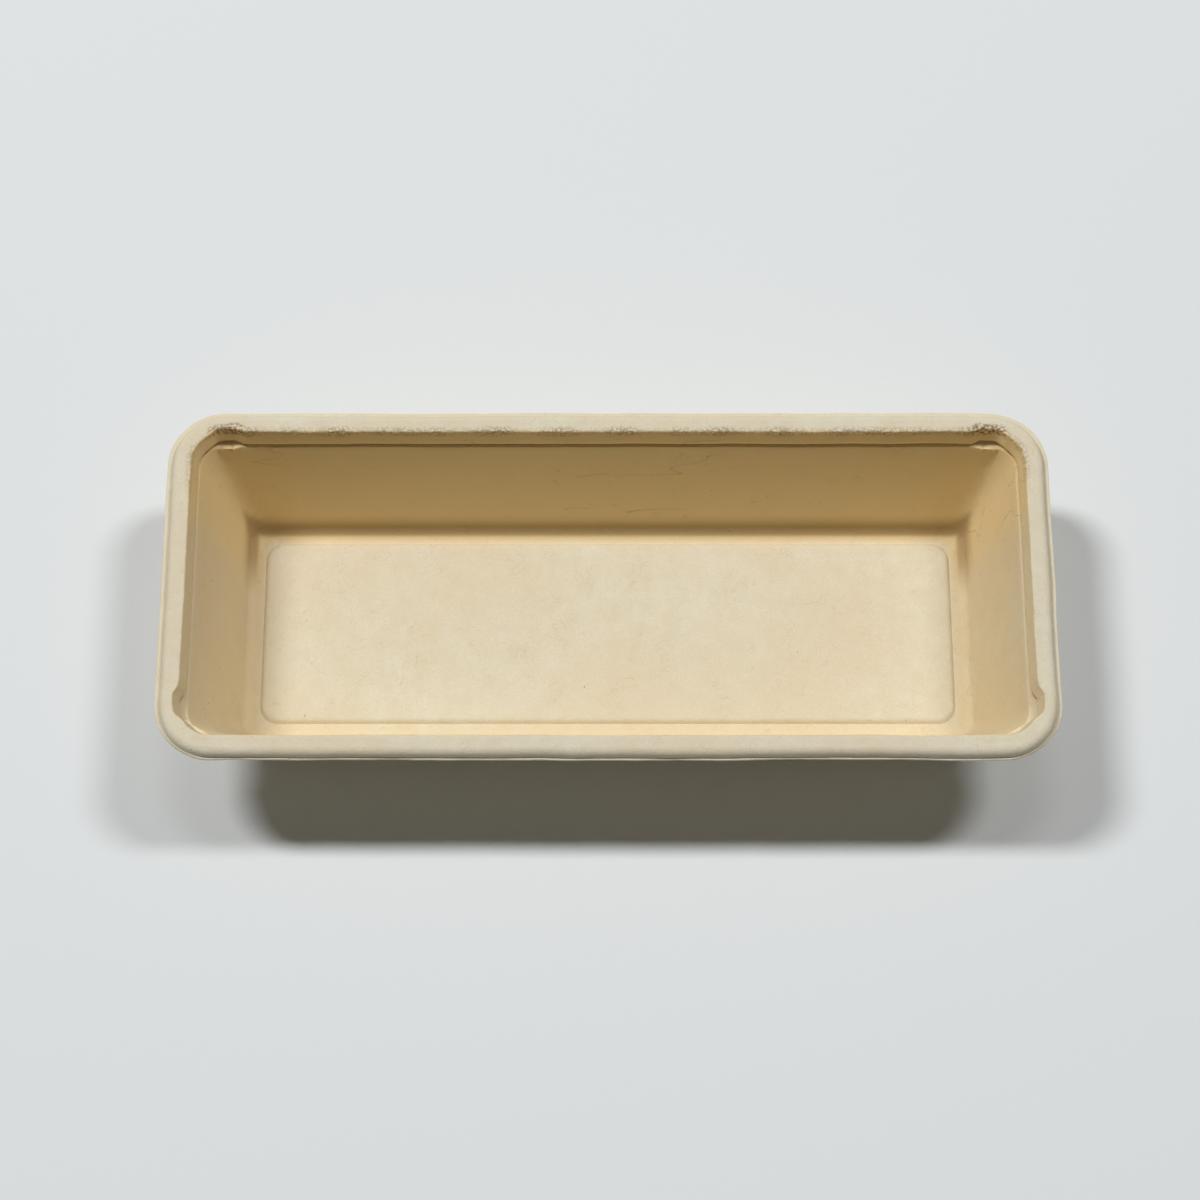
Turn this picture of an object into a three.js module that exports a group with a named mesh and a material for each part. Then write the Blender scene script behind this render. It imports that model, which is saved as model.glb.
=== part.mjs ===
import * as THREE from 'three';

// Long takeaway tray, pressed in one piece from kraft plant-fibre pulp.
// Millimetres, +Z up, +X along the tray. The origin is on the table under the tray's middle.

// Outside sizes
const trayLength = 220;
const trayWidth = 91;
const trayHeight = 41.2;
const pulpThickness = 0.8;

// Rim: a thin flat lip, then a hollow bead that stands up all round
const lipWidth = 1.3;
const lipCornerRadius = 14.5;
const beadHeight = 2.6;
const beadWidth = 4.8;
const beadLean = 0.35;
const shoulderRadius = 1.1;
const mouthEdgeRadius = 0.45;

// Band inside the bead, and the small ledge that a lid would snap on to
const bandHeight = 6.3;
const bandLean = 0.95;
const ledgeWidth = 0.65;

// Undercut pockets for a lid's lugs, one in each corner. Each is centred on the end of the corner's
// arc, where it meets the long side at the back, and the short side at the front.
const pocketDepth = 1.5;
const pocketUndercut = 0.5;
const pocketHalfLength = 4.4;
const pocketFade = 1.8;

// Walls and floor
const wallDraft = THREE.MathUtils.degToRad(15.2);
const wallFootCornerRadius = 5;
const floorFillet = 2.6;
const footWidth = 1.95;
const panelRaise = 1.1;
const panelSlopeWidth = 0.8;
const panelCornerRadius = 4.6;
const panelEdgeRadius = 1.6;

// How finely the round stretches are divided
const cornerSteps = 11;
const fadeSteps = 3;

// Heights and insets that follow from the sizes above
const crownZ = trayHeight;
const lipZ = crownZ - beadHeight;
const ledgeZ = crownZ - bandHeight;
const footZ = pulpThickness;
const panelZ = footZ + panelRaise;

const mouthInset = lipWidth + beadWidth;
const creaseInset = mouthInset + bandLean;
const ledgeInset = creaseInset + ledgeWidth;
const wallFootInset = ledgeInset + (ledgeZ - footZ) * Math.tan(wallDraft);
const filletSetback = floorFillet * Math.tan((Math.PI / 2 - wallDraft) / 2);
const panelFootInset = wallFootInset + filletSetback + footWidth;
const panelInset = panelFootInset + panelSlopeWidth;

// The pulp's upper face, from the lip's outer edge to the floor panel. Each point has its inset from
// the tray's outline, its height, the plan radius of its corners, the radius that rounds it off in the
// section, and the share of the pocket's depth that it moves outwards in the pockets.
const upperFace = [
  { inset: 0, z: lipZ, corner: lipCornerRadius },
  { inset: lipWidth, z: lipZ, corner: lipCornerRadius - lipWidth },
  { inset: lipWidth + beadLean, z: crownZ, corner: lipCornerRadius - lipWidth - beadLean, round: shoulderRadius, steps: 3 },
  { inset: mouthInset, z: crownZ, corner: lipCornerRadius - mouthInset, round: mouthEdgeRadius, steps: 2, pocket: 1 },
  { inset: creaseInset, z: ledgeZ, corner: lipCornerRadius - creaseInset, pocket: 1 + pocketUndercut },
  { inset: ledgeInset, z: ledgeZ, corner: lipCornerRadius - ledgeInset },
  { inset: wallFootInset, z: footZ, corner: wallFootCornerRadius, round: floorFillet, steps: 5 },
  { inset: panelFootInset, z: footZ, corner: panelCornerRadius },
  { inset: panelInset, z: panelZ, corner: panelCornerRadius - panelSlopeWidth, round: panelEdgeRadius, steps: 3 },
  { inset: panelInset + panelCornerRadius / 2, z: panelZ, corner: panelCornerRadius / 2 },
];

// The pulp's lower face: each line of the upper face moved square to itself by the pulp's thickness.
// A corner that turns up gets a wider radius below, and one that turns down a tighter one.
function lowerFace(upper) {
  const runs = upper.slice(1).map((point, i) => {
    return new THREE.Vector2(point.inset - upper[i].inset, point.z - upper[i].z).normalize();
  });
  return upper.map((point, i) => {
    const before = runs[Math.max(i - 1, 0)];
    const after = runs[Math.min(i, runs.length - 1)];
    const mitre = before.clone().add(after).multiplyScalar(pulpThickness / (1 + before.dot(after)));
    const turn = Math.sign(before.cross(after));
    const round = point.round ? Math.max(point.round + turn * pulpThickness, 0) : 0;
    return { ...point, inset: point.inset + mitre.y, z: point.z - mitre.x, corner: point.corner - mitre.y, round };
  });
}

// Replaces each point that has a radius by a curve that meets both its neighbours' lines.
function roundSection(points) {
  const rounded = [];
  points.forEach((point, i) => {
    if (!point.round) {
      rounded.push({ pocket: 0, ...point });
      return;
    }
    const here = new THREE.Vector2(point.inset, point.z);
    const back = new THREE.Vector2(points[i - 1].inset, points[i - 1].z).sub(here);
    const ahead = new THREE.Vector2(points[i + 1].inset, points[i + 1].z).sub(here);
    const halfAngle = back.angleTo(ahead) / 2;
    const room = 0.45 * Math.min(back.length(), ahead.length());
    const setback = Math.min(point.round / Math.tan(halfAngle), room);
    const start = here.clone().add(back.setLength(setback));
    const end = here.clone().add(ahead.setLength(setback));
    const curve = new THREE.QuadraticBezierCurve(start, here, end);
    for (const spot of curve.getPoints(point.steps)) {
      const corner = point.corner + point.inset - spot.x;
      rounded.push({ pocket: point.pocket ?? 0, inset: spot.x, z: spot.y, corner });
    }
  });
  return rounded;
}

// The share of the pocket's depth at a distance from the pocket's middle, along the mouth.
function pocketShare(distance) {
  return THREE.MathUtils.smoothstep((pocketHalfLength - distance) / pocketFade, 0, 1);
}

// One ring round the tray: a rounded rectangle, pushed outwards at the pockets. Each corner has points
// on its arc, and on the straight run where its pocket fades.
function ringPoints({ inset, z, corner, pocket }) {
  const radius = Math.max(corner, 0.3);
  const centreX = trayLength / 2 - inset - radius;
  const centreY = trayWidth / 2 - inset - radius;
  const mouthCorner = lipCornerRadius - mouthInset;
  const stops = Array.from({ length: fadeSteps + 1 }, (_, k) => pocketHalfLength - (pocketFade * k) / fadeSteps);
  const points = [];
  const place = (spot, outward, distance) => {
    const push = pocket * pocketDepth * pocketShare(distance);
    points.push(new THREE.Vector3(spot.x, spot.y, z).addScaledVector(outward, push));
  };
  for (let quarter = 0; quarter < 4; quarter += 1) {
    const start = (quarter * Math.PI) / 2;
    const signX = quarter === 0 || quarter === 3 ? 1 : -1;
    const signY = quarter < 2 ? 1 : -1;
    const centre = new THREE.Vector3(signX * centreX, signY * centreY, 0);
    const ends = [start, start + Math.PI / 2].map((a) => new THREE.Vector3(Math.cos(a), Math.sin(a), 0));
    const placeRun = (outward, away, distances) => {
      for (const distance of distances) {
        const spot = centre.clone().addScaledVector(outward, radius).addScaledVector(away, distance);
        place(spot, outward, distance);
      }
    };
    if (signX < 0) placeRun(ends[0], ends[1].clone().negate(), stops);
    for (let k = 0; k <= cornerSteps; k += 1) {
      const turn = ((Math.PI / 2) * k) / cornerSteps;
      const outward = new THREE.Vector3(Math.cos(start + turn), Math.sin(start + turn), 0);
      const fromPocket = (signX < 0 ? turn : Math.PI / 2 - turn) * mouthCorner;
      place(centre.clone().addScaledVector(outward, radius), outward, fromPocket);
    }
    if (signX > 0) placeRun(ends[1], ends[0].clone().negate(), stops.toReversed());
  }
  return points;
}

// Joins the rings in order into one closed skin, with a flat cap on the first and the last.
function loft(rings) {
  const count = rings[0].length;
  const positions = rings.flat().flatMap((point) => point.toArray());
  const indices = [];
  for (let ring = 0; ring < rings.length - 1; ring += 1) {
    for (let k = 0; k < count; k += 1) {
      const next = (k + 1) % count;
      const [a, b] = [ring * count + k, ring * count + next];
      indices.push(a, b, b + count, a, b + count, a + count);
    }
  }
  const capFaces = (ring) => THREE.ShapeUtils.triangulateShape(ring.map((p) => new THREE.Vector2(p.x, p.y)), []);
  const last = (rings.length - 1) * count;
  for (const [a, b, c] of capFaces(rings[0])) indices.push(c, b, a);
  for (const [a, b, c] of capFaces(rings[rings.length - 1])) indices.push(last + a, last + b, last + c);
  const geometry = new THREE.BufferGeometry();
  geometry.setAttribute('position', new THREE.Float32BufferAttribute(positions, 3));
  geometry.setIndex(indices);
  geometry.computeVertexNormals();
  return geometry;
}

// From the middle of the underside out to the lip, and back over the rim to the floor panel.
function makeTray() {
  const upper = roundSection(upperFace);
  const lower = roundSection(lowerFace(upperFace));
  const geometry = loft([...lower.reverse(), ...upper].map(ringPoints));
  const kraftPulp = new THREE.MeshStandardMaterial({ color: 0xdccfb2, roughness: 0.9, metalness: 0 });
  const tray = new THREE.Mesh(geometry, kraftPulp);
  tray.name = 'pulp_tray';
  return tray;
}

const takeawayTray = new THREE.Group();
takeawayTray.add(makeTray());

export default takeawayTray;
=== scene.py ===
import math

import bmesh
import bpy
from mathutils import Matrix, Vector, noise


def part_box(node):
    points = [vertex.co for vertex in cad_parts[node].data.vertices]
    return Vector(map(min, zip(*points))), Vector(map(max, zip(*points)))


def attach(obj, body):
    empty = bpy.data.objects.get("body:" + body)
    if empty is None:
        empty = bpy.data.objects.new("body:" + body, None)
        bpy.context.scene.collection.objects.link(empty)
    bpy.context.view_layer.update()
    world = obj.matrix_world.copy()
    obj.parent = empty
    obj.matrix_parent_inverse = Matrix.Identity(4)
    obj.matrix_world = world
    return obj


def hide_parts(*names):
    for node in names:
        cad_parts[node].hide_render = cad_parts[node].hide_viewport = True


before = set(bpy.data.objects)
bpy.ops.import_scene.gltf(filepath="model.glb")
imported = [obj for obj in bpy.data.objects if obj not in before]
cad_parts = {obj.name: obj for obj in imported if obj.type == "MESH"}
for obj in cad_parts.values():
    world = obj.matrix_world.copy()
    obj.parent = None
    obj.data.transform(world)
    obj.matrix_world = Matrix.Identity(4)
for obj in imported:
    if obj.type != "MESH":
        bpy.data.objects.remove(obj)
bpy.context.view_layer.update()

mm = 0.001
quarterTurn = math.pi / 2
slack = 0.3 * mm  # how far from a ring's place its points are still looked for

# Long sushi tray, pressed in one piece from kraft plant-fibre pulp
trayForm = {
    "pulp": 0.8 * mm,
    "lipWidth": 1.3 * mm,
    "lipCornerRadius": 14.5 * mm,
    "lipEdgeRadius": 0.25 * mm,
    "beadHeight": 2.6 * mm,
    "beadWidth": 4.8 * mm,
    "beadLean": 0.35 * mm,
    "shoulderRadius": 1.8 * mm,
    "shoulderHalfTurn": math.radians(41),
    "mouthEdgeRadius": 0.45 * mm,
    "bandHeight": 6.3 * mm,
    "bandLean": 1.25 * mm,
    "grooveHeight": 1.5 * mm,
    "grooveDepth": 0.5 * mm,
    "ledgeWidth": 0.35 * mm,
    "ledgeEdgeRadius": 0.25 * mm,
    "wallDraft": math.radians(15.2),
    "floorFillet": 2.6 * mm,
    "filletSteps": 8,
    "footWidth": 1.95 * mm,
    "panelRaise": 1.1 * mm,
    "panelSlopeWidth": 0.8 * mm,
    "panelCornerRadius": 4.6 * mm,
    "panelEdgeWidth": 0.7 * mm,
    "cornerSegments": 20,
}

# How finely the pulp is divided, so that its marks can be real shapes. The rows of the crown and the band
# lie nearly as far apart as the pulp is thick, so that its lower face doesn't fold over itself.
trayMesh = {
    "longStep": 1.7 * mm,
    "mouthCuts": 3,
    "lipRows": 2,
    "crownRows": 4,
    "bandRows": 6,
    "wallRows": 14,
}

# Undercut pockets for a lid's lugs, each centred on the end of a corner's arc: on the long side at
# the back, and on the short side at the front
pocketForm = {
    "backDepth": 0.8 * mm,
    "frontDepth": 1.4 * mm,
    "slotDepth": 1.6 * mm,
    "shelfLift": 0.1 * mm,
    "shelfReach": 0.5 * mm,
    "coreHalfLength": 2.9 * mm,
    "fade": 2.4 * mm,
    "finTurn": math.radians(58),
    "finSize": 1.5 * mm,
    "finLift": 0.8 * mm,
    "finLean": 0.5 * mm,
    "finReach": 1.4 * mm,
}

# What the press and the drying left: slow waves, small lumps, a trimmed lip and a mouth edge that
# crumbled. The four shares say how strongly it crumbled in each place.
pulpMarks = {
    "waveSize": 26 * mm,
    "waveDepth": 0.55 * mm,
    "lumpSize": 3.6 * mm,
    "lumpDepth": 0.16 * mm,
    "crumbSize": 0.9 * mm,
    "crumbDepth": 0.95 * mm,
    "crumbReach": 2.0 * mm,
    "crumbEverywhere": 0.1,
    "crumbAtBack": 0.36,
    "crumbAtBackPockets": 0.3,
    "crumbAtCorners": 0.56,
    "patchSize": 8 * mm,
    "trimSize": 14 * mm,
    "trimDepth": 0.35 * mm,
    "frontShift": 0.45 * mm,
    "frontTrim": 0.35 * mm,
}


def sRgb(hexColour):
    channels = [int(hexColour[i:i + 2], 16) / 255 for i in (1, 3, 5)]
    return [c / 12.92 if c <= 0.04045 else ((c + 0.055) / 1.055) ** 2.4 for c in channels] + [1.0]


def easeStep(value):
    value = min(max(value, 0), 1)
    return value * value * (3 - 2 * value)


def near(value, target, within=0.05 * mm):
    return abs(value - target) < within


def pickByEdge(piece, wanted):
    bpy.ops.mesh.select_mode(type="EDGE")
    bpy.ops.mesh.select_all(action="DESELECT")
    work = bmesh.from_edit_mesh(piece.data)
    for edge in work.edges:
        if wanted(edge):
            edge.select_set(True)
    work.select_flush_mode()
    bmesh.update_edit_mesh(piece.data)


def pickEdges(piece, wanted):
    # wanted is asked of each edge's two ends
    pickByEdge(piece, lambda edge: wanted(edge.verts[0].co, edge.verts[1].co))


def pickByPoint(piece, wanted):
    bpy.ops.mesh.select_mode(type="VERT")
    bpy.ops.mesh.select_all(action="DESELECT")
    work = bmesh.from_edit_mesh(piece.data)
    for point in work.verts:
        if not point.hide and wanted(point):
            point.select_set(True)
    work.select_flush_mode()
    bmesh.update_edit_mesh(piece.data)


def pickPoints(piece, wanted):
    # wanted is asked of each point's place
    pickByPoint(piece, lambda point: wanted(point.co))


# Places that follow from the frame's own box and the form above
trayHigh = Vector(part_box("pulp_tray")[1])
halfLength = trayHigh.x
halfWidth = trayHigh.y
crownZ = trayHigh.z
lipZ = crownZ - trayForm["beadHeight"]
ledgeZ = crownZ - trayForm["bandHeight"]
footZ = trayForm["pulp"]
panelZ = footZ + trayForm["panelRaise"]
beadInset = trayForm["lipWidth"] + trayForm["beadLean"]
mouthInset = trayForm["lipWidth"] + trayForm["beadWidth"]
creaseInset = mouthInset + trayForm["bandLean"]
ledgeInset = creaseInset + trayForm["ledgeWidth"]
wallFootInset = ledgeInset + (ledgeZ - footZ) * math.tan(trayForm["wallDraft"])
filletSetback = trayForm["floorFillet"] * math.tan((quarterTurn - trayForm["wallDraft"]) / 2)
filletEndInset = wallFootInset + filletSetback
panelFootInset = filletEndInset + trayForm["footWidth"]
panelInset = panelFootInset + trayForm["panelSlopeWidth"]
shoulderSetback = trayForm["shoulderRadius"] * math.tan(trayForm["shoulderHalfTurn"])
bandFootZ = ledgeZ + trayForm["grooveHeight"]
mouthRadius = trayForm["lipCornerRadius"] - mouthInset


def cornerReach(spot):
    # how far a point lies past the start of the corner's arc, along X and along Y
    radius = trayForm["lipCornerRadius"]
    return abs(spot.x) - (halfLength - radius), abs(spot.y) - (halfWidth - radius)


def insetOf(spot):
    # how far a point lies inside the lip's outline, seen from above
    beyondX, beyondY = cornerReach(spot)
    outside = math.hypot(max(beyondX, 0), max(beyondY, 0))
    return trayForm["lipCornerRadius"] - outside - min(max(beyondX, beyondY), 0)


def alongMouth(spot):
    # how far a point lies from the middle of its corner's pocket, along the mouth's edge
    beyondX, beyondY = cornerReach(spot)
    past, reach = (beyondX, beyondY) if spot.y > 0 else (beyondY, beyondX)
    return abs(mouthRadius * math.atan2(past, reach)) if past > 0 else abs(past)


def pocketPush(spot):
    # how far the mouth's edge was pushed outwards near a point
    pocketEnd = pocketForm["coreHalfLength"] + pocketForm["fade"]
    depth = pocketForm["backDepth" if spot.y > 0 else "frontDepth"]
    return depth * easeStep((pocketEnd - alongMouth(spot)) / pocketForm["fade"])


def stepIn(width, rise):
    bpy.ops.mesh.inset(thickness=width, depth=rise, use_boundary=True, use_even_offset=True)


def stepTo(start, end):
    # the picked face goes from one inset and height to the next, its corners tapering with it
    shrink = [(half - end[0]) / (half - start[0]) for half in (halfLength, halfWidth)]
    bpy.ops.mesh.extrude_region_move(TRANSFORM_OT_translate={"value": (0, 0, end[1] - start[1])})
    bpy.ops.transform.resize(value=(*shrink, 1), center_override=(0, 0, 0))


def bevelPicked(width, segments):
    bpy.ops.mesh.bevel(offset=width, offset_type="OFFSET", segments=segments, profile=0.5,
                       affect="EDGES", clamp_overlap=False)


def cutEdges(piece, wanted, cuts):
    pickEdges(piece, wanted)
    bpy.ops.mesh.subdivide(number_cuts=cuts)


def ringAt(inset, height):
    return lambda a, b: all(near(insetOf(p), inset) and near(p.z, height) for p in (a, b))


def acrossFrom(start, end):
    # edges that run across the rim's section, from one ring's inset and height to the next ring's
    def wanted(a, b):
        ends = [(insetOf(p), p.z) for p in (a, b)]
        for first, last in (ends, ends[::-1]):
            if all(near(v, t, 0.12 * mm) for v, t in zip((*first, *last), (*start, *end))):
                return True
        return False
    return wanted


def roundedPlane(length, width, height, radius):
    # a plane in the mesh that is being edited, its corners rounded, left selected
    bpy.ops.mesh.primitive_plane_add(size=1, location=(0, 0, 0))
    bpy.ops.transform.resize(value=(length, width, 1), center_override=(0, 0, 0))
    bpy.ops.transform.translate(value=(0, 0, height))
    bpy.ops.mesh.bevel(offset=radius, offset_type="OFFSET", segments=trayForm["cornerSegments"],
                       affect="VERTICES")


def pressRim():
    # the lip, the bead, the band, its fine groove and the ledge are stepped in from one plane, ring by ring
    bpy.ops.object.select_all(action="DESELECT")
    bpy.ops.mesh.primitive_plane_add(size=1, location=(0, 0, 0))
    tray = bpy.context.object
    tray.name = tray.data.name = "pressedTray"
    bpy.ops.object.mode_set(mode="EDIT")
    bpy.ops.mesh.delete(type="VERT")
    roundedPlane(halfLength * 2, halfWidth * 2, lipZ, trayForm["lipCornerRadius"])
    stepIn(trayForm["lipWidth"], 0)
    stepIn(trayForm["beadLean"], trayForm["beadHeight"])
    stepIn(trayForm["beadWidth"] - trayForm["beadLean"], 0)
    stepIn(trayForm["bandLean"], bandFootZ - crownZ)
    stepTo((creaseInset, bandFootZ), (creaseInset - trayForm["grooveDepth"], ledgeZ))
    stepIn(trayForm["grooveDepth"] + trayForm["ledgeWidth"], 0)
    return tray


def pressWalls():
    # the mouth's face goes down the wall, then round the fillet, to the foot
    radius, steps = trayForm["floorFillet"], trayForm["filletSteps"]
    place = (ledgeInset, ledgeZ)
    for step in range(steps + 1):
        turn = trayForm["wallDraft"] + (quarterTurn - trayForm["wallDraft"]) * step / steps
        nextPlace = (filletEndInset - radius * math.cos(turn), footZ + radius * (1 - math.sin(turn)))
        stepTo(place, nextPlace)
        place = nextPlace
    bpy.ops.mesh.delete(type="ONLY_FACE")


def pressPanel(tray):
    # the raised panel has corners of its own, so it is a second plane, bridged to the wall's foot. It hangs
    # lower while it is bridged, which keeps its loop apart from the foot's.
    hang = 10 * mm
    footHalves = (halfLength - panelFootInset, halfWidth - panelFootInset)
    roundedPlane(footHalves[0] * 2, footHalves[1] * 2, footZ - hang, trayForm["panelCornerRadius"])
    bpy.ops.mesh.delete(type="ONLY_FACE")
    pickEdges(tray, lambda a, b: a.z < footZ + 0.01 * mm and near(a.z, b.z, 0.01 * mm))
    bpy.ops.mesh.bridge_edge_loops()
    pickEdges(tray, lambda a, b: near(a.z, footZ - hang) and near(b.z, footZ - hang))
    bpy.ops.transform.translate(value=(0, 0, hang))
    bpy.ops.mesh.edge_face_add()
    stepTo((panelFootInset, footZ), (panelInset, panelZ))
    bpy.ops.mesh.select_all(action="SELECT")
    bpy.ops.mesh.remove_doubles(threshold=0.01 * mm)
    bpy.ops.mesh.normals_make_consistent(inside=False)


def softenBends(tray):
    # the wide bends come before the thickness, so that the underside follows them
    pickEdges(tray, ringAt(beadInset, crownZ))
    bevelPicked(shoulderSetback, 4)
    pickEdges(tray, lambda a, b: all(near(p.z, panelZ) and insetOf(p) > panelFootInset for p in (a, b)))
    bevelPicked(trayForm["panelEdgeWidth"], 4)


def layRows(tray):
    # rows across the section and short steps along the sides, so that the faces can take the pulp's marks
    crownStart, mouth = (beadInset + shoulderSetback, crownZ), (mouthInset, crownZ)
    cutEdges(tray, acrossFrom((0, lipZ), (trayForm["lipWidth"], lipZ)), trayMesh["lipRows"] - 1)
    cutEdges(tray, acrossFrom(crownStart, mouth), trayMesh["crownRows"] - 1)
    cutEdges(tray, acrossFrom(mouth, (creaseInset, bandFootZ)), trayMesh["bandRows"] - 1)
    cutEdges(tray, lambda a, b: abs(a.z - b.z) > crownZ / 2, trayMesh["wallRows"] - 1)
    longSteps = round(2 * (halfLength - trayForm["lipCornerRadius"]) / trayMesh["longStep"])
    shortSteps = round(2 * (halfWidth - trayForm["lipCornerRadius"]) / trayMesh["longStep"])
    cutEdges(tray, lambda a, b: abs(a.x - b.x) > halfLength / 2, longSteps - 1)
    cutEdges(tray, lambda a, b: abs(a.y - b.y) > halfWidth / 2, shortSteps - 1)


def pushPicked(shift, reach):
    # moves what is picked, and draws the pulp around it along
    bpy.ops.transform.translate(value=shift, use_proportional_edit=True, proportional_size=reach,
                                proportional_edit_falloff="SMOOTH", use_proportional_connected=True)


def pressPockets(tray):
    # each pocket pushes the band outwards, and its groove goes further in as a slot above the ledge
    pickPoints(tray, lambda spot: spot.z < ledgeZ + slack and insetOf(spot) > creaseInset)
    bpy.ops.mesh.hide(unselected=False)  # the ledge's inner edge and the walls stay as they are
    for side in (-1, 1):
        for atBack in (True, False):
            outward = Vector((0, 1, 0)) if atBack else Vector((side, 0, 0))
            depth = pocketForm["backDepth" if atBack else "frontDepth"]

            def inPocket(spot, pushed=0):
                place = spot - outward * pushed
                if place.x * side < 0 or (place.y > 0) != atBack:
                    return False
                onBand = mouthInset - slack < insetOf(place) < creaseInset + slack
                aboveLedge = place.z > ledgeZ - slack
                return onBand and aboveLedge and alongMouth(place) < pocketForm["coreHalfLength"]
            pickPoints(tray, inPocket)
            pushPicked(outward * depth, pocketForm["fade"])
            pickPoints(tray, lambda spot: spot.z < ledgeZ + slack and inPocket(spot, depth))
            pushPicked(outward * pocketForm["slotDepth"], pocketForm["fade"] / 3)
    bpy.ops.mesh.reveal(select=False)
    for side in (-1, 1):
        # the ledge stands out a little under the slot at the back
        def onShelf(spot):
            onLedge = near(spot.z, ledgeZ) and near(insetOf(spot), ledgeInset, slack)
            inCorner = spot.y > 0 and spot.x * side > 0
            return onLedge and inCorner and alongMouth(spot) < pocketForm["coreHalfLength"]
        pickPoints(tray, onShelf)
        pushPicked(Vector((0, -pocketForm["shelfReach"], pocketForm["shelfLift"])), pocketForm["fade"] / 2)


def raiseFins(tray):
    # a small fin of pulp stands on the ledge in each front corner's arc
    radius = trayForm["lipCornerRadius"]
    across, along = math.cos(pocketForm["finTurn"]), math.sin(pocketForm["finTurn"])
    for side in (-1, 1):
        heading = Vector((side * across, -along, 0))
        arcCentre = Vector((side * (halfLength - radius), radius - halfWidth, ledgeZ))
        finPlace = arcCentre + heading * (radius - creaseInset)
        pickPoints(tray, lambda spot: (spot - finPlace).length < pocketForm["finSize"])
        rise = Vector((0, 0, pocketForm["finLift"]))
        pushPicked(rise - heading * pocketForm["finLean"], pocketForm["finReach"])


def thicken(tray):
    bpy.ops.object.mode_set(mode="OBJECT")
    wall = tray.modifiers.new("pulpThickness", "SOLIDIFY")
    wall.thickness = trayForm["pulp"]
    wall.offset = -1
    wall.use_even_offset = True
    wall.use_quality_normals = True
    bpy.ops.object.modifier_apply(modifier=wall.name)
    bpy.ops.object.mode_set(mode="EDIT")


def smoothUnderside(tray):
    # under the pockets the rows of the lower face lie closer than the pulp is thick, so they are evened out
    lowest, highest = crownZ - 2 * trayForm["pulp"], crownZ - trayForm["pulp"] / 2
    reach = 3 * mm

    def wanted(point):
        push = pocketPush(point.co)
        underMouth = push > 0 and near(insetOf(point.co) + push, mouthInset, reach)
        return underMouth and point.normal.z < 0 and lowest < point.co.z < highest
    pickByPoint(tray, wanted)
    bpy.ops.mesh.vertices_smooth(factor=0.5, repeat=24)


def softenCreases(tray):
    # the tight bends are on the upper face alone, and are found by how sharply the pulp turns there
    def pickSharp(lowInset, highInset, lowZ, highZ):
        def wanted(edge):
            middle = (edge.verts[0].co + edge.verts[1].co) / 2
            inPlace = lowInset < insetOf(middle) < highInset and lowZ < middle.z < highZ
            return inPlace and edge.is_convex and edge.calc_face_angle(0) > math.radians(40)
        pickByEdge(tray, wanted)
    pickSharp(mouthInset - 4 * mm, mouthInset + slack, crownZ - slack, crownZ + slack)
    mouthTurn = math.atan2(trayForm["bandHeight"], trayForm["bandLean"])
    bevelPicked(trayForm["mouthEdgeRadius"] * math.tan(mouthTurn / 2), 3)
    pickSharp(ledgeInset - 3 * mm, ledgeInset + slack, ledgeZ - slack, ledgeZ + 2 * mm)
    bevelPicked(trayForm["ledgeEdgeRadius"], 3)
    pickSharp(-slack, slack, lipZ - 2 * trayForm["pulp"], lipZ + slack)
    bevelPicked(trayForm["lipEdgeRadius"], 2)


def refineMouth(tray):
    # on the upper face alone, the rows and rings about the mouth's edge are cut finer, for the crumbs
    reach = 3 * mm
    longestRow, longestRing = 0.5 * mm, 0.9 * mm

    def aboutMouth(edge):
        for spot in (point.co for point in edge.verts):
            onRim = mouthInset - reach < insetOf(spot) < creaseInset + 0.1 * mm
            if not onRim or spot.z < crownZ - reach:
                return False
        return all(face.normal.z > 0 for face in edge.link_faces)

    def isRow(edge):
        a, b = [p.co for p in edge.verts]
        across = math.hypot(insetOf(a) - insetOf(b), a.z - b.z)
        return across > longestRow and across > 0.9 * (a - b).length and aboutMouth(edge)

    def isRing(edge):
        a, b = [p.co for p in edge.verts]
        level = near(a.z, b.z, 0.25 * mm) and near(insetOf(a), insetOf(b), 0.5 * mm)
        return level and edge.calc_length() > longestRing and aboutMouth(edge)
    pickByEdge(tray, isRow)
    bpy.ops.mesh.subdivide(number_cuts=1)
    pickByEdge(tray, isRing)
    bpy.ops.mesh.subdivide(number_cuts=trayMesh["mouthCuts"])


tray = pressRim()
pressWalls()
pressPanel(tray)
print("tray stepped in from one plane:", len(bmesh.from_edit_mesh(tray.data).faces), "faces")
softenBends(tray)
layRows(tray)
pressPockets(tray)
raiseFins(tray)
print("bends, pockets and fins pressed:", len(bmesh.from_edit_mesh(tray.data).faces), "faces")
thicken(tray)
smoothUnderside(tray)
softenCreases(tray)
refineMouth(tray)
bpy.ops.object.mode_set(mode="OBJECT")
print("pulp thickened and divided:", len(tray.data.polygons), "faces")


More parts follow.
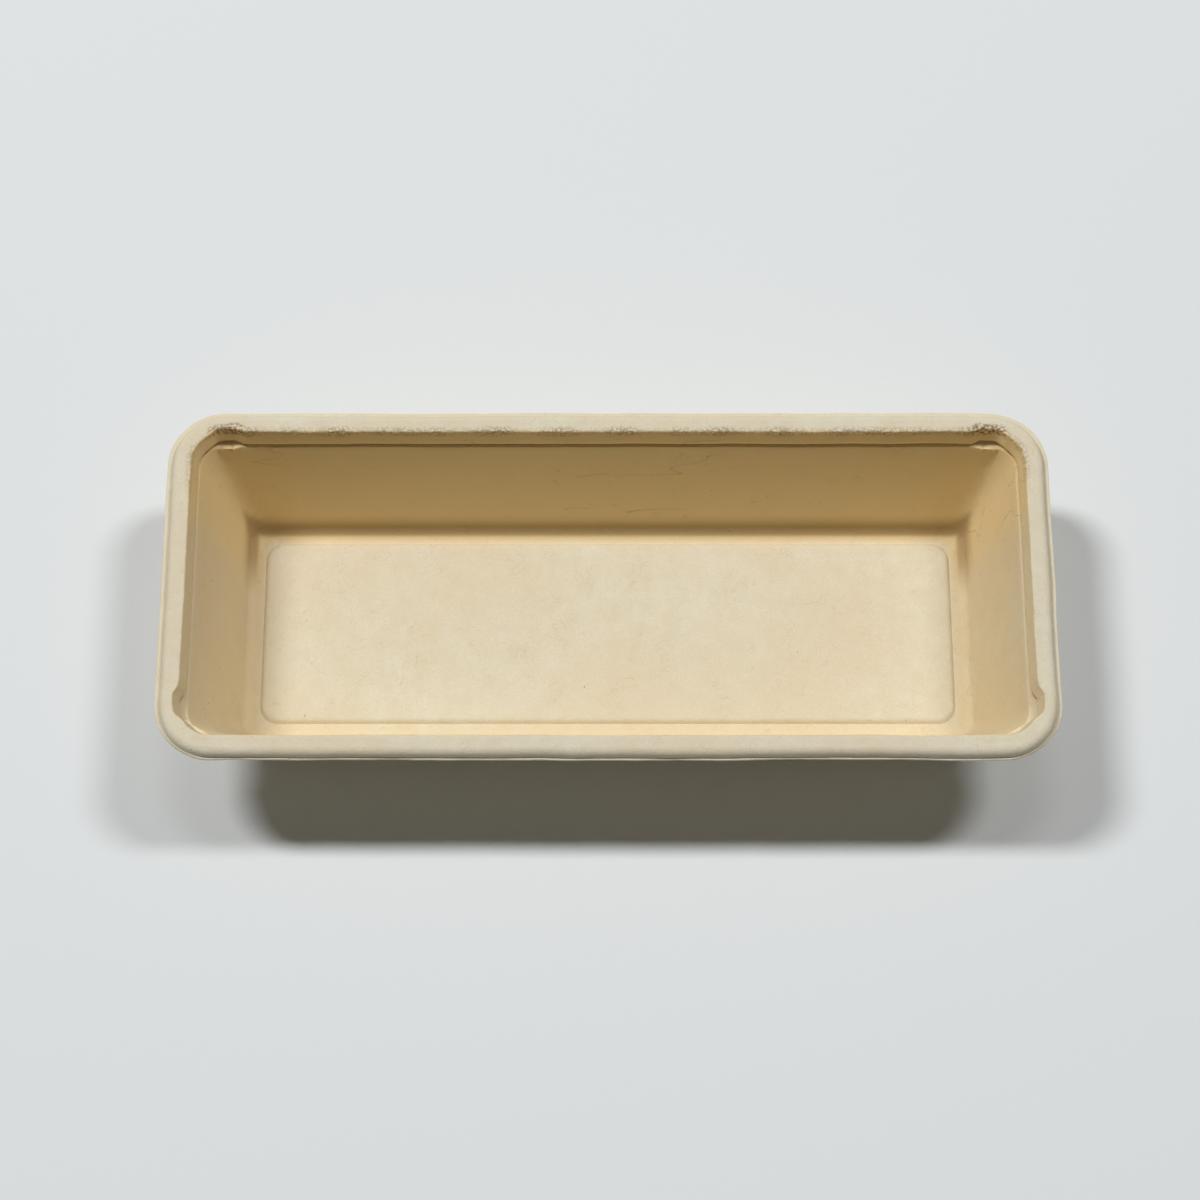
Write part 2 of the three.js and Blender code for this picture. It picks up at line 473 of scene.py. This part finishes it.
def crumbShare(spot):
    # how far the pulp crumbled: most at the back, less at the sides, least at the front
    section = Vector((insetOf(spot) + pocketPush(spot) - mouthInset, min(spot.z - crownZ, 0) * 0.6))
    closeness = easeStep(1.2 - section.length / pulpMarks["crumbReach"])
    back = easeStep((spot.y - halfWidth * 0.3) / (halfWidth * 0.5))

    # along the back it crumbled in patches, and most in the pockets
    patch = noise.noise(Vector((spot.x / pulpMarks["patchSize"], 0, 0)))
    patches = 0.35 + 0.65 * easeStep(0.5 + 1.2 * patch)
    inPocket = pocketPush(spot) / pocketForm["backDepth"]
    alongBack = pulpMarks["crumbAtBack"] * patches + pulpMarks["crumbAtBackPockets"] * inPocket

    # at each corner it fades along both sides
    beyondX, beyondY = cornerReach(spot)
    fadeX = easeStep(1 - abs(beyondX + 5 * mm) / (14 * mm))
    fadeY = easeStep(1 - abs(beyondY + 5 * mm) / (16 * mm))
    atCorner = pulpMarks["crumbAtCorners"] * fadeX * fadeY * (0.3 + 0.7 * back)
    return closeness * (pulpMarks["crumbEverywhere"] + back * alongBack + atCorner)


def trimShare(spot):
    # the lip's outer edge, where it was cut
    onLip = spot.z < (lipZ + crownZ) / 2
    return easeStep(1 - insetOf(spot) / trayForm["lipWidth"]) if onLip else 0


def frontReach(spot):
    # the front side's rim, fading round the corners: there the bead stands nearer the lip's edge, and the
    # lip was cut narrower
    atFront = easeStep((-spot.y - halfWidth * 0.66) / (halfWidth * 0.2))
    return atFront * easeStep((spot.z - ledgeZ) / (2 * mm))


def frontBeadShare(spot):
    return frontReach(spot) * easeStep(insetOf(spot) / trayForm["lipWidth"])


def frontLipShare(spot):
    return frontReach(spot) * trimShare(spot)


def freeShare(spot):
    # the foot was pressed flat, so that the tray stands level
    footMiddle = panelFootInset - trayForm["footWidth"] / 2
    return easeStep((abs(insetOf(spot) - footMiddle) - 2.4 * mm) / (3 * mm))


def weigh(piece, name, share):
    group = piece.vertex_groups.new(name=name)
    for vertex in piece.data.vertices:
        amount = share(vertex.co)
        if amount > 0:
            group.add([vertex.index], min(amount, 1), "REPLACE")


def marked(piece, name, size, depth, group):
    # a cloud pattern pushes the points about in all three directions
    clouds = bpy.data.textures.new(name, "CLOUDS")
    clouds.noise_scale = size
    clouds.noise_depth = 2
    clouds.cloud_type = "COLOR"
    push = piece.modifiers.new(name, "DISPLACE")
    push.texture = clouds
    push.texture_coords = "LOCAL"
    push.direction = "RGB_TO_XYZ"
    push.space = "LOCAL"
    push.mid_level = 0.5
    push.strength = depth
    push.vertex_group = group
    bpy.ops.object.modifier_apply(modifier=push.name)


def shifted(piece, group, distance):
    # moves the points of a group along Y
    push = piece.modifiers.new(group, "DISPLACE")
    push.direction = "Y"
    push.space = "LOCAL"
    push.mid_level = 0
    push.strength = distance
    push.vertex_group = group
    bpy.ops.object.modifier_apply(modifier=push.name)


weigh(tray, "freeOfFoot", freeShare)
weigh(tray, "crumbledEdge", crumbShare)
weigh(tray, "trimmedLip", trimShare)
weigh(tray, "frontBead", frontBeadShare)
weigh(tray, "frontLip", frontLipShare)
crumbAmounts = [min(crumbShare(vertex.co), 1) for vertex in tray.data.vertices]
marked(tray, "slowWaves", pulpMarks["waveSize"], pulpMarks["waveDepth"], "freeOfFoot")
marked(tray, "smallLumps", pulpMarks["lumpSize"], pulpMarks["lumpDepth"], "freeOfFoot")
marked(tray, "unevenTrim", pulpMarks["trimSize"], pulpMarks["trimDepth"], "trimmedLip")
marked(tray, "crumbs", pulpMarks["crumbSize"], pulpMarks["crumbDepth"], "crumbledEdge")
shifted(tray, "frontBead", -pulpMarks["frontShift"])
shifted(tray, "frontLip", pulpMarks["frontTrim"])
tray.vertex_groups.clear()
bpy.ops.object.shade_smooth_by_angle(angle=math.radians(40))
print("waves, lumps and crumbs left by the press")


def keepShare(piece, name, amounts):
    layer = piece.data.attributes.new(name, "FLOAT", "POINT")
    layer.data.foreach_set("value", amounts)


def paintedBounceShare(spot):
    # painted bounce light: the walls and the channel are painted a warmer, brighter tan than the floor
    # panel, for the light bounced between them, most of all along the back, where the wall lies in shade
    inward = insetOf(spot) + pocketPush(spot) - mouthInset
    offPanel = easeStep((panelInset + 0.5 * mm - insetOf(spot)) / (3.5 * mm))
    inWall = offPanel * easeStep((inward + 0.4 * mm) / (0.6 * mm))
    return inWall * (0.42 + 0.58 * easeStep((spot.y - halfWidth * 0.2) / (halfWidth * 0.35)))


def paintedFootShadeShare(spot):
    # painted shade: the fillet at the back is painted dark brown where the back wall's shadow lies on it
    middle = wallFootInset + filletSetback * 0.2
    atBack = easeStep((spot.y - halfWidth * 0.2) / (halfWidth * 0.3))
    return atBack * easeStep(1.4 - abs(insetOf(spot) - middle) / (1.5 * mm))


keepShare(tray, "crumbledEdge", crumbAmounts)
# painted shade along the fillet at the back wall's foot, kept as a point share for the material
keepShare(tray, "paintedFootShade", [paintedFootShadeShare(vertex.co) for vertex in tray.data.vertices])
# painted bounce light on the walls and the channel, kept as a point share for the material
keepShare(tray, "paintedBounceOnWalls", [paintedBounceShare(vertex.co) for vertex in tray.data.vertices])

# Kraft pulp: matt unbleached plant fibre, wet-pressed and oven-dried. It is pale tan, softly mottled
# where the fibres flocked, with a fine grain, short fibres, a few dark specks, and browner crumbs. The
# grain and the fibres are drawn coarser than real ones, so that they show.
kraftPulp = {
    "pale": "#DFD8C3",
    "tan": "#D3C6A6",
    "flockSize": 5 * mm,
    "driftSize": 38 * mm,
    "driftTone": "#DCCCB0",
    # painted bounce light: the warmer, brighter tan of the walls
    "paintedBounceTone": "#F0D499",
    "grainSize": 0.5 * mm,
    "fibreSize": 3.2 * mm,
    "fibreTone": "#BFA673",
    "speckSize": 5.5 * mm,
    "speckTone": "#6B4E2C",
    "crackSize": 30 * mm,
    "crackTone": "#7A6238",
    "crumbTone": "#6E4C1C",
    "crumbGrainSize": 0.7 * mm,
    # painted shade: the dark brown of the back wall's foot
    "paintedFootShadeTone": "#8A6A3C",
    "roughness": 0.88,
    "shine": 0.3,
    "grainRelief": 0.11 * mm,
}


def perMetre(size):
    return 1 / size


def addNode(tree, kind, settings=None, links=None):
    node = tree.nodes.new(kind)
    for name, value in (settings or {}).items():
        if name in node.inputs:
            node.inputs[name].default_value = value
        else:
            setattr(node, name, value)
    for socket, source in (links or {}).items():
        tree.links.new(source, node.inputs[socket])
    return node


def makePulp():
    material = bpy.data.materials.new("kraftPulp")
    material.use_nodes = True
    tree = material.node_tree
    shader = tree.nodes["Principled BSDF"]
    place = addNode(tree, "ShaderNodeTexCoord").outputs["Object"]

    def clouds(size, detail=2.0, roughness=0.5, source=None):
        settings = {"Scale": perMetre(size), "Detail": detail, "Roughness": roughness}
        return addNode(tree, "ShaderNodeTexNoise", settings, {"Vector": source or place}).outputs["Fac"]

    def spread(source, low, high, bottom=0.0, top=1.0):
        settings = {"From Min": low, "From Max": high, "To Min": bottom, "To Max": top}
        return addNode(tree, "ShaderNodeMapRange", settings, {"Value": source}).outputs["Result"]

    def sums(operation, first, second):
        if isinstance(second, (int, float)):
            node = addNode(tree, "ShaderNodeMath", {"operation": operation}, {0: first})
            node.inputs[1].default_value = second
            return node.outputs[0]
        return addNode(tree, "ShaderNodeMath", {"operation": operation}, {0: first, 1: second}).outputs[0]

    def tinted(under, over, share):
        node = addNode(tree, "ShaderNodeMix", {"data_type": "RGBA"}, {0: share})
        for slot, colour in ((6, under), (7, over)):
            if isinstance(colour, str):
                node.inputs[slot].default_value = sRgb(colour)
            else:
                tree.links.new(colour, node.inputs[slot])
        return node.outputs[2]

    def thinLines(size, width, source=None):
        # a noise field crosses its middle value along thin winding lines
        field = clouds(size, 1.0, 0.5, source)
        away = sums("ABSOLUTE", sums("SUBTRACT", field, 0.5), 0)
        return spread(away, 0, width, 1, 0)

    flocks = spread(clouds(kraftPulp["flockSize"], 4.0, 0.6), 0.32, 0.68)
    drift = spread(clouds(kraftPulp["driftSize"], 1.0), 0.4, 0.66, 0, 0.5)
    grain = clouds(kraftPulp["grainSize"], 3.0, 0.65)
    colour = tinted(kraftPulp["pale"], kraftPulp["tan"], sums("MULTIPLY", flocks, 0.45))
    colour = tinted(colour, kraftPulp["driftTone"], drift)
    colour = tinted(colour, kraftPulp["tan"], spread(grain, 0.48, 0.72, 0, 0.6))

    # painted bounce light: the walls and the channel are mixed towards a warmer, brighter tan, most along
    # the shaded back wall
    wallsPaintedBounce = addNode(tree, "ShaderNodeAttribute", {"attribute_name": "paintedBounceOnWalls"}).outputs["Fac"]
    colour = tinted(colour, kraftPulp["paintedBounceTone"], sums("MULTIPLY", wallsPaintedBounce, 0.8))

    # painted shade: a dark brown band along the fillet at the back wall's foot
    paintedFootShadeMask = addNode(tree, "ShaderNodeAttribute", {"attribute_name": "paintedFootShade"}).outputs["Fac"]
    colour = tinted(colour, kraftPulp["paintedFootShadeTone"], sums("MULTIPLY", paintedFootShadeMask, 0.6))

    fibrePatches = spread(clouds(kraftPulp["fibreSize"] * 1.7, 1.0), 0.56, 0.62)
    fibres = sums("MULTIPLY", thinLines(kraftPulp["fibreSize"], 0.012), fibrePatches)
    colour = tinted(colour, kraftPulp["fibreTone"], sums("MULTIPLY", fibres, 0.3))

    # about one cell in five holds a dark speck
    speckScale = perMetre(kraftPulp["speckSize"])
    cells = addNode(tree, "ShaderNodeTexVoronoi", {"Scale": speckScale}, {"Vector": place})
    chance = addNode(tree, "ShaderNodeSeparateColor", {}, {0: cells.outputs["Color"]}).outputs[0]
    dots = spread(cells.outputs["Distance"], 0.025, 0.045, 1, 0)
    specks = sums("MULTIPLY", dots, spread(chance, 0.78, 0.8))
    colour = tinted(colour, kraftPulp["speckTone"], sums("MULTIPLY", specks, 0.8))

    crackPatches = spread(clouds(kraftPulp["crackSize"], 1.0), 0.6, 0.63)
    squeezed = addNode(tree, "ShaderNodeMapping", {"Scale": (0.35, 1, 1.6)}, {"Vector": place}).outputs[0]
    cracks = sums("MULTIPLY", thinLines(kraftPulp["crackSize"] / 2, 0.003, squeezed), crackPatches)
    cracks = sums("MULTIPLY", cracks, wallsPaintedBounce)
    colour = tinted(colour, kraftPulp["crackTone"], sums("MULTIPLY", cracks, 0.3))

    crumbled = addNode(tree, "ShaderNodeAttribute", {"attribute_name": "crumbledEdge"}).outputs["Fac"]
    crumbGrain = spread(clouds(kraftPulp["crumbGrainSize"], 2.0), 0.4, 0.58)
    crumbs = sums("MULTIPLY", spread(crumbled, 0.15, 0.6), crumbGrain)
    colour = tinted(colour, kraftPulp["crumbTone"], sums("MULTIPLY", crumbs, 0.75))
    tree.links.new(colour, shader.inputs["Base Color"])

    relief = sums("ADD", sums("MULTIPLY", flocks, 0.7), grain)
    relief = sums("ADD", relief, sums("MULTIPLY", fibres, 0.3))
    relief = sums("SUBTRACT", relief, sums("ADD", cracks, sums("MULTIPLY", crumbs, 0.6)))
    reliefSettings = {"Strength": 1.0, "Distance": kraftPulp["grainRelief"]}
    bump = addNode(tree, "ShaderNodeBump", reliefSettings, {"Height": relief})
    tree.links.new(bump.outputs["Normal"], shader.inputs["Normal"])
    shader.inputs["Roughness"].default_value = kraftPulp["roughness"]
    shader.inputs["Specular IOR Level"].default_value = kraftPulp["shine"]
    return material


tray.data.materials.clear()
tray.data.materials.append(makePulp())
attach(tray, "root")
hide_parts("pulp_tray")
print("pulp finished")

# The camera stands in front of the tray and looks steeply down on it, as in the photo
cameraView = {
    "lens": 82.5,
    "sensor": 36,
    "spot": (-2.0 * mm, -230.9 * mm, 674.0 * mm),
    "lookDown": math.radians(70.38),
}
cameraTurn = (quarterTurn - cameraView["lookDown"], 0, 0)
bpy.ops.object.camera_add(location=cameraView["spot"], rotation=cameraTurn)
camera = bpy.context.object
camera.data.lens = cameraView["lens"]
camera.data.sensor_width = cameraView["sensor"]
camera.data.dof.use_dof = False
bpy.context.scene.camera = camera

# Soft oval lamps high behind the tray: one on each side, the left one stronger, and a broad one between
lampRig = {
    "distance": 3.0,
    "aim": Vector((0, 0, 20 * mm)),
    "level": 0.95,
    "lamps": [
        {"side": -0.5, "back": 0.3, "width": 0.74, "depth": 0.34, "share": 0.49},
        {"side": 0.48, "back": 0.3, "width": 0.74, "depth": 0.34, "share": 0.31},
        {"side": 0.0, "back": 0.3, "width": 0.9, "depth": 0.34, "share": 0.1},
    ],
    "roomTone": "#F3ECE2",
    "roomShare": 0.1,
}
# at level 1 and a share of 1, a lamp right above lights a white surface to white
fullPower = math.pi ** 2 * lampRig["distance"] ** 2 * lampRig["level"]
for lampPlace in lampRig["lamps"]:
    heading = Vector((lampPlace["side"], lampPlace["back"], 1)).normalized()
    bpy.ops.object.light_add(type="AREA", location=lampRig["aim"] + heading * lampRig["distance"])
    lamp = bpy.context.object
    lamp.data.shape = "ELLIPSE"
    lamp.data.size = lampPlace["width"]
    lamp.data.size_y = lampPlace["depth"]
    lamp.data.energy = fullPower * lampPlace["share"] / heading.z
    # the lamp's width stays along the tray
    lamp.rotation_euler = (-math.asin(heading.y), math.atan2(lampPlace["side"], 1), 0)

world = bpy.data.worlds.new("softRoom")
bpy.context.scene.world = world
world.use_nodes = True
roomLight = world.node_tree.nodes["Background"]
roomLight.inputs["Color"].default_value = sRgb(lampRig["roomTone"])
roomLight.inputs["Strength"].default_value = lampRig["roomShare"]

# Pale matt table
tableLook = {"size": 4, "tone": "#E1E5E7", "roughness": 0.8}
bpy.ops.mesh.primitive_plane_add(size=tableLook["size"], location=(0, 0, 0))
table = bpy.context.object
table.name = table.data.name = "paleTable"
tableFinish = bpy.data.materials.new("paleTable")
tableFinish.use_nodes = True
tableShader = tableFinish.node_tree.nodes["Principled BSDF"]
tableShader.inputs["Base Color"].default_value = sRgb(tableLook["tone"])
tableShader.inputs["Roughness"].default_value = tableLook["roughness"]
table.data.materials.append(tableFinish)

bpy.context.scene.view_settings.view_transform = "Standard"
print("camera, lamps and table set")
